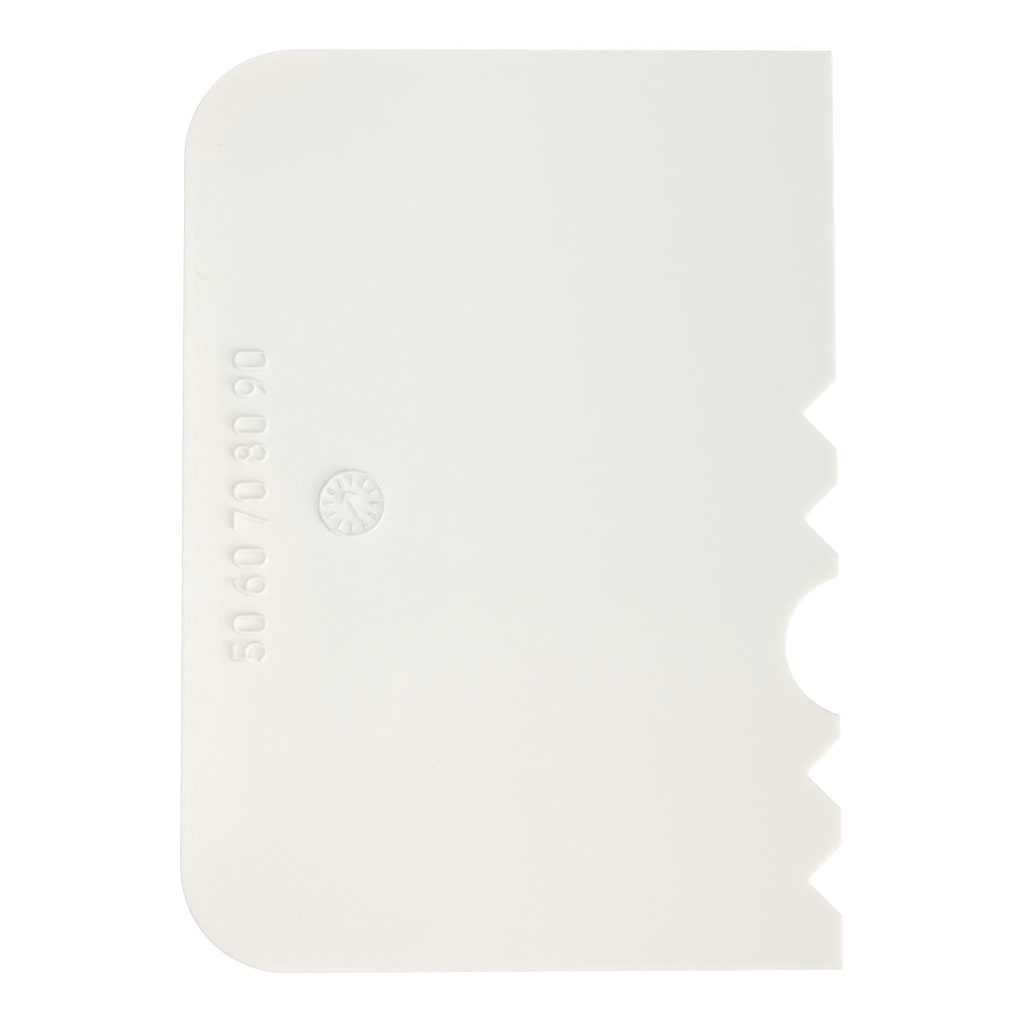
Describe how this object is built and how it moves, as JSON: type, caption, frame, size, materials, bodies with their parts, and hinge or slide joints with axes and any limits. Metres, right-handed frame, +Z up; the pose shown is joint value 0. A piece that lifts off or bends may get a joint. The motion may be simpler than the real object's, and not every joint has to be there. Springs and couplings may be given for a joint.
{
  "type": "icing smoother",
  "caption": "Thin flat plastic icing smoother with rounded grip corners and a patterned working edge: V notches on either side of a round scallop.",
  "frame": {"origin": "under the middle of the plate, on its flat underside", "axes": "+X towards the patterned working edge, +Y along the plate towards its plain end, +Z up through the thickness, towards the face with the raised marks"},
  "size_m": [0.0994, 0.14, 0.002],
  "materials": {
    "plate_plastic": "off-white, slightly translucent satin polypropylene with a fine grain along the plate"
  },
  "bodies": {
    "root": {"scraper_plate": "plate_plastic"}
  },
  "joints": []
}
